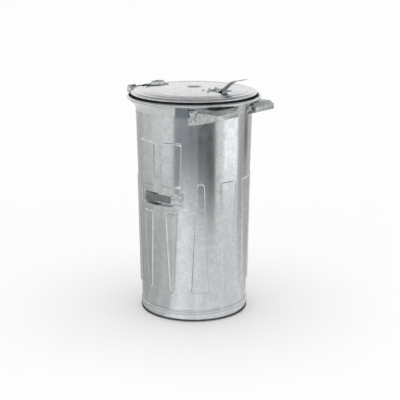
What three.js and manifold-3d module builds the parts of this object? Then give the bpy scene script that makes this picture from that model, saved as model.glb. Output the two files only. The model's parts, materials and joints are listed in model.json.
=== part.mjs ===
// Galvanised round dustbin with a hinged lid, in millimetres, +Z up, standing on z = 0 at the origin.
// Its front, with the two lifting ears and the lid lever, faces -Y. The hinge is at +Y.
import * as THREE from 'three';
import { mergeVertices } from 'three/addons/utils/BufferGeometryUtils.js';
import Module from 'manifold-3d';

const wasm = await Module();
wasm.setup();

// ---- Driving dimensions -------------------------------------------------------------------------

const segments = 36; // flats around every turned piece
const fit = 0.3; // air left between two pieces that touch
const sheet = 1.2; // steel sheet of the body, the foot and the lid
const plate = 3; // steel plate of the ears, straps and hinge bracket

// Body wall: a slightly tapered tube that flares into a funnel under the rolled rim.
const wallFootRadius = 201; // outside of the wall at z = 0
const wallNeckRadius = 219.6; // outside of the wall where the funnel starts
const wallBottom = 5; // lower edge of the wall above the ground
const rimRadius = 253.5; // outside of the rolled rim
const rimHeight = 835; // top of the rolled rim
const funnelDepth = 50;
const rimRollRadius = 6;
const rimWireRadius = 3.9;
const neckHeight = rimHeight - funnelDepth;

// Foot ring and the raised bottom.
const footRadius = 206.2;
const footHeight = 45;
const footInnerRadius = 190;
const footBeadHeight = 19; // the upper bead, under the ring's top edge
const bottomHeight = 34; // underside of the dished bottom plate at its middle
const bottomSheet = 2;
const bottomGutter = { width: 34, depth: 6, slope: 10, corner: 8 };

// Side grips: a strap across a pressed cup, one at each side.
const gripHeight = 469; // middle of the cup
const gripCup = { halfLength: 66, halfHeight: 24, depth: 35, corner: 14 };
const strap = { top: gripHeight + 20, bottom: gripHeight - 7, proud: 4, halfLength: 58 };
const gripFoot = {
  inner: 18.2, // degrees from the middle of the grip to the near and far edges
  outer: 28.6,
  top: gripHeight + 29,
  bottom: gripHeight - 27,
};

// Raised panels pressed into the wall: centre angles from the front, heights, half widths and corners.
const flutedPanels = {
  angles: [45, 135, -45, -135],
  top: 538, halfTop: 15, riseTop: 2.6, cornerTop: 14,
  bottom: 112, halfBottom: 34, riseBottom: 5.4, cornerBottom: 6,
};
const wedgePanels = {
  angles: [15, 165, -15, -165],
  top: 538, halfTop: 37, riseTop: 3, cornerTop: 8,
  bottom: 114, halfBottom: 16, riseBottom: 3, cornerBottom: 15,
};
const shieldPanels = {
  angles: [75, 105, -75, -105],
  top: 688, halfTop: 44, riseTop: 3, cornerTop: 12,
  bottom: gripHeight + 50, halfBottom: 40, riseBottom: 3, cornerBottom: 12,
};
const tonguePanels = {
  angles: [75, 105, -75, -105],
  top: gripHeight - 49, halfTop: 29, riseTop: 3, cornerTop: 12,
  bottom: 110, halfBottom: 13, riseBottom: 3, cornerBottom: 12,
};

// Lifting ears under the rim, left and right of the front.
const ear = {
  innerX: 55,
  outerX: 171,
  front: rimRadius - 6.5,
  top: rimHeight - 18,
  shoulderRise: 14,
  shoulderRun: 12,
  frontDepth: 33, // from the top down to the lower edge of the front
  wallDepth: 60, // from the top down to the lower edge at the wall
  tabAngle: 6, // width of a fixing tab, in degrees
  tabDrop: 5, // from the top down to the upper end of a tab
  outerTabRivets: [8, 45.7], // above the lower edge at the wall
  innerTabRivets: [34.3, 45.7],
  innerTabRise: 22, // lower end of the inner tab above the lower edge at the wall
};
const earWindow = { fromFront: 7.5, depth: 22.5, fromTop: 15, height: 15.5 };

// Lid: a shallow dome inside two pressed rings, with a rolled edge and a sunk middle.
const lidRadius = rimRadius - 15.5;
const lidGap = 3.5; // between the rim and the lid's edge
const lidRollRadius = 5;
const lidWireRadius = 2.9;
const lidRings = [[13, 3.5], [26, 3], [38, 6.5], [49, 5]]; // [distance in from the edge, rise over its top]
const domeRadius = lidRadius - 61;
const domeRise = 14.3; // crown of the dome over the edge
const domeDrop = 7.1; // fall of the dome from its crown to the dome radius
const sinkRadius = 31;
const sinkSlope = 6;
const sinkDepth = 4;
const collarInset = 8; // ring under the lid that sits in the funnel
const lidEdgeBottom = rimHeight + lidGap;
const lidEdgeTop = lidEdgeBottom + 2 * lidRollRadius;
const domeHeight = lidEdgeTop + domeRise;

// Hinge at the back.
const hinge = { y: rimRadius - 16.5, z: rimHeight + 8 }; // axis of the pin, which runs along X
const pinRadius = 5;
const pinPlay = 0.4;
const lidBackCut = hinge.y - 16; // straight edge at the back of the lid
const hingeStrap = { half: 42, noseHalf: 14, length: 99, shoulder: 45, bend: 33, bendRise: 17 };
const lug = { innerX: 91, sheet: 4, front: 12.5, rise: 12, chamfer: 8, clasp: 8 };
const cheek = { innerX: 48, behind: 12, rise: 13, drop: 2 };
const webRise = 6;
const bracketFoot = {
  bottom: rimHeight - 78,
  top: rimHeight - 38,
  width: 7.5, // in degrees
  rivets: [8, 22], // above the bottom
};
const washerSheet = 2;
const washerRadius = 10;
const pinHead = { radius: 8, height: 4 };
const cotter = { radius: 1.6, fromWasher: 3.5, eyeRise: 9, legDrop: 9, spread: 2.5 };

// Lever on the lid, standing in a sunk pan.
const pan = { fromDome: 19, length: 72, half: 38, corner: 12, flange: 16, depth: 11.8 };
const panFar = domeRadius - pan.fromDome;
const panNear = panFar - pan.length;
const panFloor = domeHeight - pan.depth;
const lever = { half: 18, reach: 3, tab: 57, stem: 60, foot: 32, bendRise: 53.5, tipRise: 65 };

// Rivets.
const rivetHeadRadius = 5.5;
const rivetHeadHeight = 3;
const rivetShankRadius = 2.6;
const rivetHoleRadius = 2.9;
const rivetTailRadius = 4.4;
const rivetTailHeight = 1.8;
const rivetSides = 6;
const slopeSlack = 0.4; // extra air under a rivet's tail where the sheet slopes

// ---- Finishes -----------------------------------------------------------------------------------

const finish = (color, roughness, metalness = 1) => ({ color, roughness, metalness });
const finishes = {
  sheetSteel: finish(0xb9bcbf, 0.38),
  dippedPlate: finish(0x8f9896, 0.55),
  lidSteel: finish(0xc3c5c8, 0.32),
  fastener: finish(0xd0d2d4, 0.3),
  wire: finish(0x8a8d90, 0.5),
};

// ---- Geometry helpers ---------------------------------------------------------------------------

const radians = THREE.MathUtils.degToRad;
const point = (x, y) => new THREE.Vector2(x, y);

// A closed three.js geometry as a solid, with its faces turned outwards.
function solidOf(geometry) {
  const bare = new THREE.BufferGeometry();
  bare.setAttribute('position', geometry.getAttribute('position').clone());
  if (geometry.index) bare.setIndex(geometry.index.clone());
  const merged = mergeVertices(bare, 1e-4);
  const vertices = merged.getAttribute('position').array;
  const corner = (i) => new THREE.Vector3().fromArray(vertices, 3 * i);
  const faces = [];
  let volume = 0;
  for (let i = 0; i < merged.index.count; i += 3) {
    const [a, b, c] = merged.index.array.slice(i, i + 3);
    if (a === b || b === c || c === a) continue;
    faces.push([a, b, c]);
    volume += corner(a).dot(corner(b).cross(corner(c)));
  }
  const triVerts = faces.flatMap(([a, b, c]) => (volume > 0 ? [a, b, c] : [a, c, b]));
  const mesh = new wasm.Mesh({
    numProp: 3,
    vertProperties: new Float32Array(vertices),
    triVerts: new Uint32Array(triVerts),
  });
  return new wasm.Manifold(mesh);
}

function geometryOf(solid) {
  const mesh = solid.getMesh();
  const geometry = new THREE.BufferGeometry();
  geometry.setAttribute('position', new THREE.BufferAttribute(new Float32Array(mesh.vertProperties), 3));
  geometry.setIndex(new THREE.BufferAttribute(new Uint32Array(mesh.triVerts), 1));
  return geometry;
}

const join = (solids) => solids.reduce((sum, next) => sum.add(next));
const cutAll = (solid, cutters) => cutters.reduce((rest, cutter) => rest.subtract(cutter), solid);
const mirroredX = (solid) => solidOf(geometryOf(solid).scale(-1, 1, 1));

// A closed outline of (radius, height) points turned about the Z axis.
function turned(outline, sides = segments) {
  const closed = [...outline, outline[0]];
  return solidOf(new THREE.LatheGeometry(closed, sides).rotateX(Math.PI / 2));
}

// An outline that starts and ends on the axis, turned about it.
function turnedFromAxis(outline, sides) {
  return solidOf(new THREE.LatheGeometry(outline, sides).rotateX(Math.PI / 2));
}

function shapeOf(points) {
  return new THREE.Shape(points.map(([x, y]) => point(x, y)));
}

const extruded = (shape, depth, curveSegments = 4) =>
  new THREE.ExtrudeGeometry(shape, { depth, bevelEnabled: false, curveSegments });

// A prism whose outline lies in the plan, from one height to another.
function planPrism(points, low, high) {
  return solidOf(extruded(shapeOf(points), high - low).translate(0, 0, low));
}

// A prism whose outline is given as (y, z) points, across x from one side to the other.
function crossPrism(points, left, right) {
  const geometry = extruded(shapeOf(points), right - left);
  geometry.rotateX(Math.PI / 2).rotateZ(Math.PI / 2).translate(left, 0, 0);
  return solidOf(geometry);
}

// A prism whose outline is given as (x, z) points, along y from one depth to another.
function depthPrism(points, near, far) {
  const geometry = extruded(shapeOf(points), far - near);
  geometry.rotateX(Math.PI / 2).translate(0, far, 0);
  return solidOf(geometry);
}

function arc(centre, radius, from, to, steps) {
  return Array.from({ length: steps + 1 }, (_, i) => {
    const angle = radians(from + ((to - from) * i) / steps);
    return point(centre.x + radius * Math.cos(angle), centre.y + radius * Math.sin(angle));
  });
}

// A path moved to its left by a distance, with its corners mitred.
function offsetPath(path, distance) {
  const normals = path.slice(1).map((end, i) => {
    const along = end.clone().sub(path[i]).normalize();
    return point(-along.y, along.x);
  });
  return path.map((vertex, i) => {
    const before = normals[Math.max(i - 1, 0)];
    const after = normals[Math.min(i, normals.length - 1)];
    const middle = before.clone().add(after).normalize();
    return vertex.clone().addScaledVector(middle, distance / middle.dot(after));
  });
}

// The section of a bent sheet: its outer face and the same path moved in by the thickness.
const sheetSection = (path, thickness) => [...path, ...offsetPath(path, thickness).reverse()];

// ---- Body wall ----------------------------------------------------------------------------------

const wallSlope = (wallNeckRadius - wallFootRadius) / neckHeight;
const wallRadius = (z) => wallFootRadius + wallSlope * z;

const rollCentre = point(rimRadius - rimRollRadius, rimHeight - rimRollRadius);
const rollStart = -25; // degrees, where the funnel runs into the roll
const rollEnd = 215;
const rollSteps = 6;
const funnelSteps = 4;

// Outer face of the wall, from its lower edge to the end of the rolled rim.
function wallPath() {
  const roll = arc(rollCentre, rimRollRadius, rollStart, rollEnd, rollSteps);
  const funnel = new THREE.CubicBezierCurve(
    point(wallNeckRadius, neckHeight),
    point(wallNeckRadius + 0.9, neckHeight + 0.38 * funnelDepth),
    point(rimRadius - 20.5, neckHeight + 0.56 * funnelDepth),
    roll[0],
  ).getPoints(funnelSteps);
  return [point(wallRadius(wallBottom), wallBottom), ...funnel, ...roll.slice(1)];
}

// The part of the outer face below the roll, which brackets and tabs follow.
const openWallPath = wallPath().slice(0, funnelSteps + 1);

// Everything inside the wall's outer face, grown by a clearance: it cuts what stands on the wall.
function wallEnvelope(clearance) {
  const outer = offsetPath(wallPath().slice(0, funnelSteps + rollSteps), -clearance);
  const top = outer[outer.length - 1];
  return turnedFromAxis([point(0, 0), point(outer[0].x, 0), ...outer, point(0, top.y)], segments);
}

// A band that lies on the wall over a range of heights and angles from the front.
function wallBand(thickness, low, high, fromAngle, toAngle) {
  const inner = offsetPath(openWallPath, -fit);
  const outer = offsetPath(openWallPath, -fit - thickness);
  const ring = turned([...outer, ...inner.reverse()]);
  const reach = 2 * rimRadius;
  const ray = (angle) => [reach * Math.sin(radians(angle)), -reach * Math.cos(radians(angle))];
  return ring.intersect(planPrism([[0, 0], ray(fromAngle), ray(toAngle)], low, high));
}

// Outline of a raised panel, as seen from outside, with rounded corners.
function panelShape({ top, bottom, halfTop, halfBottom, cornerTop, cornerBottom }, inset) {
  const corners = [
    { at: point(halfBottom - inset, bottom + inset), round: cornerBottom - inset },
    { at: point(halfTop - inset, top - inset), round: cornerTop - inset },
    { at: point(inset - halfTop, top - inset), round: cornerTop - inset },
    { at: point(inset - halfBottom, bottom + inset), round: cornerBottom - inset },
  ];
  const shape = new THREE.Shape();
  corners.forEach(({ at, round }, i) => {
    const before = corners[(i + 3) % 4].at;
    const after = corners[(i + 1) % 4].at;
    const start = at.clone().addScaledVector(before.clone().sub(at).normalize(), round);
    const end = at.clone().addScaledVector(after.clone().sub(at).normalize(), round);
    if (i === 0) shape.moveTo(start.x, start.y);
    else shape.lineTo(start.x, start.y);
    shape.quadraticCurveTo(at.x, at.y, end.x, end.y);
  });
  return shape;
}

// A panel's block: its outline carried outwards through the wall, between two tapered skins.
function panelBlock(panel, angle, inset, innerOffset, outerOffset) {
  const { top, bottom, riseTop, riseBottom } = panel;
  const low = bottom - 10;
  const high = top + 10;
  const riseAt = (z) => riseBottom + ((riseTop - riseBottom) * (z - bottom)) / (top - bottom);
  const skin = turned([
    point(wallRadius(low) + innerOffset, low),
    point(wallRadius(low) + riseAt(low) + outerOffset, low),
    point(wallRadius(high) + riseAt(high) + outerOffset, high),
    point(wallRadius(high) + innerOffset, high),
  ]);
  const outline = extruded(panelShape(panel, inset), wallNeckRadius, 2);
  outline.rotateX(Math.PI / 2).translate(0, -wallNeckRadius / 3, 0).rotateZ(radians(angle));
  return skin.intersect(solidOf(outline));
}

function pressPanels(wall, panel) {
  return panel.angles.reduce((pressed, angle) => {
    const raised = panelBlock(panel, angle, 0, -sheet / 2, 0);
    const hollow = panelBlock(panel, angle, sheet, -2 * sheet, -sheet);
    return pressed.add(raised).subtract(hollow);
  }, wall);
}

// ---- Rivets -------------------------------------------------------------------------------------

function rivet(matrix, grip) {
  const geometry = new THREE.LatheGeometry([
    point(0, -grip - fit - rivetTailHeight),
    point(rivetTailRadius, -grip - fit - rivetTailHeight),
    point(rivetTailRadius, -grip - fit),
    point(rivetShankRadius, -grip - fit),
    point(rivetShankRadius, fit),
    point(rivetHeadRadius, fit),
    point(0.6 * rivetHeadRadius, fit + rivetHeadHeight),
    point(0, fit + rivetHeadHeight),
  ], rivetSides);
  return solidOf(geometry.rotateX(Math.PI / 2).applyMatrix4(matrix));
}

function rivetHole(matrix, reach = 20) {
  const hole = new THREE.CylinderGeometry(rivetHoleRadius, rivetHoleRadius, 2 * reach, rivetSides);
  return solidOf(hole.rotateX(Math.PI / 2).applyMatrix4(matrix));
}

// Rivets through a plate on the wall: their places are [angle, height] pairs.
const wallGrip = plate + fit + sheet;

// Radius and lean of the wall's outer face at a height.
function wallAt(height) {
  const index = Math.max(1, openWallPath.findIndex((vertex) => vertex.y >= height));
  const [low, high] = [openWallPath[index - 1], openWallPath[index]];
  const share = (height - low.y) / (high.y - low.y);
  const lean = Math.atan2(high.x - low.x, high.y - low.y);
  return { radius: THREE.MathUtils.lerp(low.x, high.x, share), lean };
}

const flatDrop = (radius) => radius * (1 - Math.cos(Math.PI / segments));

// Matrices of fasteners that stand square on a plate on the wall.
const wallMatrices = (places) => places.map(([angle, height]) => {
  const { radius, lean } = wallAt(height);
  return new THREE.Matrix4().makeRotationZ(radians(angle))
    .multiply(new THREE.Matrix4().makeTranslation(0, -radius, height))
    .multiply(new THREE.Matrix4().makeRotationX(Math.PI / 2 + lean))
    .multiply(new THREE.Matrix4().makeTranslation(0, 0, fit + plate));
});

const wallRivets = (places) =>
  wallMatrices(places).map((matrix) => rivet(matrix, wallGrip + flatDrop(wallNeckRadius)));

const wallHoles = (places) => wallMatrices(places).map((matrix) => rivetHole(matrix));

// ---- Lifting ears -------------------------------------------------------------------------------

const earWallBottom = ear.top - ear.wallDepth;
const earCrease = ear.top - ear.shoulderRise; // where the upright walls turn into the sloping shoulder
const earAngle = (x) => THREE.MathUtils.radToDeg(Math.asin(x / wallRadius(earWallBottom)));
const tabRivetInset = 2.6; // degrees in from a tab's outer edge
const earOuterTab = [earAngle(ear.outerX) - 0.8, earAngle(ear.outerX) + ear.tabAngle];
const earInnerTab = [earAngle(ear.innerX) - ear.tabAngle, earAngle(ear.innerX) + 0.6];
const earRivetPlaces = [
  ...ear.outerTabRivets.map((rise) => [earOuterTab[1] - tabRivetInset, earWallBottom + rise]),
  ...ear.innerTabRivets.map((rise) => [earInnerTab[0] + tabRivetInset, earWallBottom + rise]),
];

// The ear's hood, moved in by a distance on every walled side.
function earHood(inset) {
  const left = ear.innerX + inset;
  const right = ear.outerX - inset;
  const front = inset - ear.front;
  const top = ear.top - inset;
  const crease = earCrease - 0.4 * inset;
  const back = -ear.front / 2;
  const drop = inset > 0 ? ear.wallDepth : 0;
  const sideView = crossPrism([
    [front, ear.top - ear.frontDepth - drop],
    [back, earWallBottom - 5 - drop],
    [back, top],
    [front + ear.shoulderRun, top],
    [front, crease],
  ], left, right);
  const frontView = depthPrism([
    [left, earWallBottom - 2 * ear.wallDepth],
    [right, earWallBottom - 2 * ear.wallDepth],
    [right, crease],
    [right - ear.shoulderRun, top],
    [left, top],
  ], -ear.front - 1, back);
  return sideView.intersect(frontView);
}

function earSolid() {
  const near = earWindow.fromFront - ear.front;
  const far = near + earWindow.depth;
  const [left, right] = [ear.innerX - plate, ear.innerX + 2 * plate];
  const windowTop = ear.top - earWindow.fromTop;
  const windowPlan = [[left, near], [right, near], [right, far], [left, far]];
  const window = planPrism(windowPlan, windowTop - earWindow.height, windowTop);
  const hood = cutAll(earHood(0), [earHood(plate), window, wallEnvelope(fit)]);
  const tabTop = ear.top - ear.tabDrop;
  const outerTab = wallBand(plate, earWallBottom, tabTop, ...earOuterTab);
  const innerTab = wallBand(plate, earWallBottom + ear.innerTabRise, tabTop, ...earInnerTab);
  return cutAll(join([hood, outerTab, innerTab]), wallHoles(earRivetPlaces));
}

// ---- Side grips ---------------------------------------------------------------------------------

const gripMiddle = 90; // degrees from the front
const gripRivetSpots = [[6.6, 20], [6.6, -1], [6.6, -18.5], [2, -18.5]]; // [degrees past the foot's near edge, rise]
const gripRivetPlaces = gripRivetSpots.flatMap(([past, rise]) =>
  [-1, 1].map((side) => [gripMiddle + side * (gripFoot.inner + past), gripHeight + rise]));

// A rounded block through the wall at the right-hand side, with the cup's outline grown by a margin.
function gripBlock(grow, innerX, outerX) {
  const half = gripCup.halfLength + grow;
  const low = gripHeight - gripCup.halfHeight - grow;
  const high = gripHeight + gripCup.halfHeight + grow;
  const round = gripCup.corner + grow;
  const shape = new THREE.Shape();
  shape.moveTo(half - round, low);
  shape.absarc(half - round, low + round, round, -Math.PI / 2, 0);
  shape.absarc(half - round, high - round, round, 0, Math.PI / 2);
  shape.absarc(round - half, high - round, round, Math.PI / 2, Math.PI);
  shape.absarc(round - half, low + round, round, Math.PI, 1.5 * Math.PI);
  const geometry = extruded(shape, outerX - innerX, 3);
  geometry.rotateX(Math.PI / 2).rotateZ(Math.PI / 2).translate(innerX, 0, 0);
  return solidOf(geometry);
}

const gripFloorX = wallRadius(gripHeight) - gripCup.depth;
const gripOpening = () => gripBlock(0, gripFloorX, rimRadius);

function gripCupSolid() {
  const shell = gripBlock(sheet, gripFloorX - sheet, rimRadius).subtract(gripOpening());
  const [low, high] = [footHeight, neckHeight];
  const inside = turned([
    point(1, low), point(wallRadius(low) - sheet - fit, low),
    point(wallRadius(high) - sheet - fit, high), point(1, high),
  ]);
  return shell.intersect(inside);
}

function gripStrapSolid() {
  const faceX = wallRadius(gripHeight) + strap.proud;
  const footAngle = radians(gripFoot.inner + 1.6);
  const seatRadius = wallRadius(gripHeight) + fit + plate;
  const seat = point(seatRadius * Math.cos(footAngle), seatRadius * Math.sin(footAngle));
  const path = [
    point(seat.x, -seat.y),
    point(seat.x + plate / 2, -seat.y + plate),
    point(faceX, -strap.halfLength),
    point(faceX, strap.halfLength),
    point(seat.x + plate / 2, seat.y - plate),
    seat,
  ];
  const section = sheetSection(path, plate).map(({ x, y }) => [x, y]);
  const bar = planPrism(section, strap.bottom, strap.top);
  const feet = [-1, 1].map((side) => {
    const edges = [gripMiddle + side * gripFoot.inner, gripMiddle + side * gripFoot.outer].sort((a, b) => a - b);
    return wallBand(plate, gripFoot.bottom, gripFoot.top, edges[0], edges[1]);
  });
  return cutAll(join([bar.subtract(wallEnvelope(fit)), ...feet]), wallHoles(gripRivetPlaces));
}

// ---- Foot ring and bottom -----------------------------------------------------------------------

function footRingSolid() {
  const seatRadius = (z) => wallRadius(z) + fit + sheet;
  const path = [
    point(footInnerRadius, 14),
    point(footInnerRadius, 2),
    point(footInnerRadius + 2, 0),
    point(footRadius - 3.5, 0),
    point(footRadius, 5),
    point(footRadius, footHeight - footBeadHeight),
    point(footRadius - 1.7, footHeight - 0.8 * footBeadHeight),
    point(footRadius - 0.7, footHeight - 0.55 * footBeadHeight),
    point(seatRadius(footHeight) + fit, footHeight - 0.3 * footBeadHeight),
    point(seatRadius(footHeight), footHeight),
  ];
  return turned(sheetSection(path, sheet));
}

function bottomPlateSolid() {
  const edge = wallRadius(wallBottom) - sheet - fit;
  const top = bottomHeight + bottomSheet;
  const { width, depth, slope, corner } = bottomGutter;
  const upper = [
    point(edge, wallBottom),
    point(edge, top - depth - corner / 2),
    point(edge - corner, top - depth),
    point(edge - width + slope, top - depth),
    point(edge - width, top),
    point(0, top),
  ];
  const lower = offsetPath(upper.slice(0, 5), bottomSheet).reverse();
  return turnedFromAxis([point(0, bottomHeight), ...lower, ...upper], segments);
}

// ---- Lid ----------------------------------------------------------------------------------------

const domeAt = (r) => domeHeight - domeDrop * (r / domeRadius) ** 2;
const lidRollCentre = point(lidRadius - lidRollRadius, lidEdgeBottom + lidRollRadius);

// Upper face of the lid, from the end of its rolled edge to the sunk middle.
const domePath = [1, 0.68, 0.42, sinkRadius / domeRadius]
  .map((share) => share * domeRadius)
  .map((r) => point(r, domeAt(r)));
const lidPath = [
  ...arc(lidRollCentre, lidRollRadius, 205, 450, 6),
  ...lidRings.map(([inset, rise]) => point(lidRadius - inset, lidEdgeTop + rise)),
  ...domePath,
  point(sinkRadius - sinkSlope, domeHeight - sinkDepth),
];

// Height of the lid's upper face at a distance from its middle.
function lidHeight(r) {
  const index = lidPath.findLastIndex((vertex) => vertex.x >= r);
  const [outer, inner] = [lidPath[index], lidPath[index + 1]];
  return THREE.MathUtils.mapLinear(r, outer.x, inner.x, outer.y, inner.y);
}

// Rivets down through the lid: a place, the height that the head sits on and what the shank passes through.
const lidRivet = (x, y, seat, below) => ({
  matrix: new THREE.Matrix4().makeTranslation(x, y, seat),
  grip: seat - lidHeight(Math.hypot(x, y)) + below + slopeSlack,
});

const lidHole = ({ matrix }) => rivetHole(matrix);
const lidRivets = (places) => places.map(({ matrix, grip }) => rivet(matrix, grip));

// Everything in front of the lid's straight back edge.
const highest = domeHeight + 2 * rimRadius;
const lidReach = planPrism(
  [[-lidRadius, -lidRadius], [lidRadius, -lidRadius], [lidRadius, lidBackCut], [-lidRadius, lidBackCut]],
  neckHeight, highest,
);

function wireRing(centre, radius) {
  return turned(arc(centre, radius, 0, 288, 4));
}

// Collar under the lid, from the sheet of the lid down to the funnel that it rests on.
function collarSolid() {
  const collarRadius = lidRadius - collarInset;
  const funnel = offsetPath(openWallPath, sheet);
  const index = funnel.findIndex((vertex) => vertex.x > collarRadius + fit);
  const [low, high] = [funnel[index - 1], funnel[index]];
  const seat = THREE.MathUtils.mapLinear(collarRadius + fit, low.x, high.x, low.y, high.y) + fit;
  const shelf = lidEdgeBottom - fit;
  const top = lidEdgeTop - sheet - fit;
  const rollInside = lidRadius - 2 * lidRollRadius;
  const path = [
    point(collarRadius, seat),
    point(collarRadius, shelf),
    point(rollInside - lidRollRadius / 5, shelf),
    point(rollInside - lidRollRadius, top),
    point(rollInside - 1.8 * lidRollRadius, top),
  ];
  return turned(sheetSection(path, sheet)).intersect(lidReach);
}

// ---- Lever and its pan --------------------------------------------------------------------------

const rivetsBehind = panNear - 0.75 * pan.flange;
const rivetsBeside = panNear + 20;
const panRivetX = pan.half + 0.75 * pan.flange;
const panRivetPlaces = [
  [-panRivetX, rivetsBeside], [-pan.half, rivetsBehind], [0, rivetsBehind],
  [pan.half, rivetsBehind], [panRivetX, rivetsBeside],
].map(([x, forward]) => lidRivet(x, -forward, lidHeight(Math.hypot(x, forward)), 2 * sheet + fit));

const leverTip = lidRadius + lever.reach;
const leverBend = leverTip - lever.tab;
const leverFoot = leverBend - lever.stem;
const leverHeel = leverFoot - lever.foot;
const leverSeat = panFloor + fit + plate;
const leverRivetPlaces = [lever.half / 2, -lever.half / 2].map((x) => ({
  matrix: new THREE.Matrix4().makeTranslation(x, -(leverHeel + lever.foot / 3), leverSeat),
  grip: plate + fit + sheet,
}));

// A block with the pan's outline, grown by a margin, from one height to another.
function panBlock(grow, low, high) {
  const [near, far, half, round] = [panNear - grow, panFar + grow, pan.half + grow, pan.corner + grow];
  const shape = new THREE.Shape();
  shape.absarc(half - round, -near - round, round, 0, Math.PI / 2);
  shape.absarc(round - half, -near - round, round, Math.PI / 2, Math.PI);
  shape.absarc(round - half, -far + round, round, Math.PI, 1.5 * Math.PI);
  shape.absarc(half - round, -far + round, round, 1.5 * Math.PI, 2 * Math.PI);
  return solidOf(extruded(shape, high - low, 3).translate(0, 0, low));
}

function lidShellSolid() {
  const last = lidPath[lidPath.length - 1];
  const lower = offsetPath(lidPath, sheet).reverse();
  const shell = turnedFromAxis([point(0, last.y - sheet), ...lower, ...lidPath, point(0, last.y)], segments);
  const holes = [...panRivetPlaces, ...hingeStrapRivetPlaces].map(lidHole);
  return cutAll(shell.intersect(lidReach), [panBlock(0, neckHeight, highest), ...holes]);
}

function leverPanSolid() {
  const upper = offsetPath(domePath, sheet + fit);
  const lower = offsetPath(domePath, 2 * sheet + fit).reverse();
  const flange = turned([...upper, ...lower]).intersect(panBlock(pan.flange, neckHeight, domeHeight));
  const underFlange = turned([...upper, point(sinkRadius, neckHeight), point(domeRadius, neckHeight)]);
  const dish = panBlock(sheet, panFloor - sheet, domeHeight).intersect(underFlange);
  const hollow = panBlock(0, panFloor, highest);
  return cutAll(flange.add(dish), [hollow, ...[...panRivetPlaces, ...leverRivetPlaces].map(lidHole)]);
}

// The lever is a strip that stands up from the pan and turns forward, with a rounded tip.
function leverSolid() {
  const bendHeight = lidEdgeTop + lever.bendRise;
  const path = [
    point(-leverHeel, leverSeat),
    point(plate - leverFoot, leverSeat),
    point(-plate - leverFoot, leverSeat + plate),
    point(plate - leverBend, bendHeight - plate),
    point(-plate - leverBend, bendHeight),
    point(-leverTip, lidEdgeTop + lever.tipRise),
  ];
  const section = sheetSection(path, plate).map(({ x, y }) => [x, y]);
  const strip = crossPrism(section, -lever.half, lever.half);
  const plan = new THREE.Shape();
  plan.moveTo(lever.half, 1 - leverHeel);
  plan.lineTo(-lever.half, 1 - leverHeel);
  plan.absarc(0, lever.half - leverTip, lever.half, Math.PI, 2 * Math.PI);
  const outline = solidOf(extruded(plan, highest, 6));
  return cutAll(strip.intersect(outline), leverRivetPlaces.map(lidHole));
}

// ---- Hinge --------------------------------------------------------------------------------------

const knuckleRadius = pinRadius + pinPlay + plate;
const strapNose = hinge.y - hingeStrap.length;
const strapNoseTop = domeAt(strapNose) + fit + plate;
const strapBend = point(hinge.y - hingeStrap.bend, hinge.z + hingeStrap.bendRise);
const strapTopAt = (y) => THREE.MathUtils.mapLinear(y, strapNose, strapBend.x, strapNoseTop, strapBend.y);
const hingeStrapRivetPlaces = [[27, 52], [-27, 52], [16, 20], [-16, 20]].map(([x, fromNose]) =>
  lidRivet(x, strapNose + fromNose, strapTopAt(strapNose + fromNose), sheet));

// The strap lies over the lid, slopes down to the hinge and rolls round the pin.
function hingeStrapSolid() {
  const { half, noseHalf } = hingeStrap;
  const axis = point(hinge.y, hinge.z);
  const away = strapBend.clone().sub(axis);
  const tangent = THREE.MathUtils.radToDeg(away.angle() - Math.acos(knuckleRadius / away.length()));
  const path = [...arc(axis, knuckleRadius, -200, tangent, 9), strapBend, point(strapNose, strapNoseTop)];
  const section = sheetSection(path, plate).map(({ x, y }) => [x, y]);
  const bent = crossPrism(section, -half, half);
  const shoulder = hinge.y - hingeStrap.shoulder;
  const bulge = noseHalf / 3;
  const plan = new THREE.Shape();
  plan.moveTo(-half, hinge.y + 2 * knuckleRadius);
  plan.lineTo(-half, shoulder);
  plan.quadraticCurveTo(bulge - half, strapNose + bulge, -noseHalf, strapNose);
  plan.lineTo(noseHalf, strapNose);
  plan.quadraticCurveTo(half - bulge, strapNose + bulge, half, shoulder);
  plan.lineTo(half, hinge.y + 2 * knuckleRadius);
  const outline = solidOf(extruded(plan, highest, 4));
  const slotRadius = 2 * plate;
  const slotY = hinge.y - 25;
  const slot = new THREE.Shape();
  slot.absarc(1.5 * slotRadius, slotY, slotRadius, -Math.PI / 2, Math.PI / 2);
  slot.absarc(-1.5 * slotRadius, slotY, slotRadius, Math.PI / 2, 1.5 * Math.PI);
  const slotHole = solidOf(extruded(slot, 3 * plate, 4).translate(0, 0, strapBend.y - 3 * plate));
  return cutAll(bent.intersect(outline), [slotHole, ...hingeStrapRivetPlaces.map(lidHole)]);
}

// Two lugs carry the pin, tied by cheeks and a low web. They hug the funnel down to riveted feet.
const lugOuterX = lug.innerX + lug.sheet;
const cheekFront = hinge.y + cheek.behind;
const lugBack = cheekFront + plate;
const footInnerAngle = THREE.MathUtils.radToDeg(Math.asin(lug.innerX / wallNeckRadius));
const bracketRivetPlaces = bracketFoot.rivets.flatMap((rise) => [-1, 1].map((side) =>
  [180 + side * (footInnerAngle + bracketFoot.width - tabRivetInset), bracketFoot.bottom + rise]));

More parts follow.
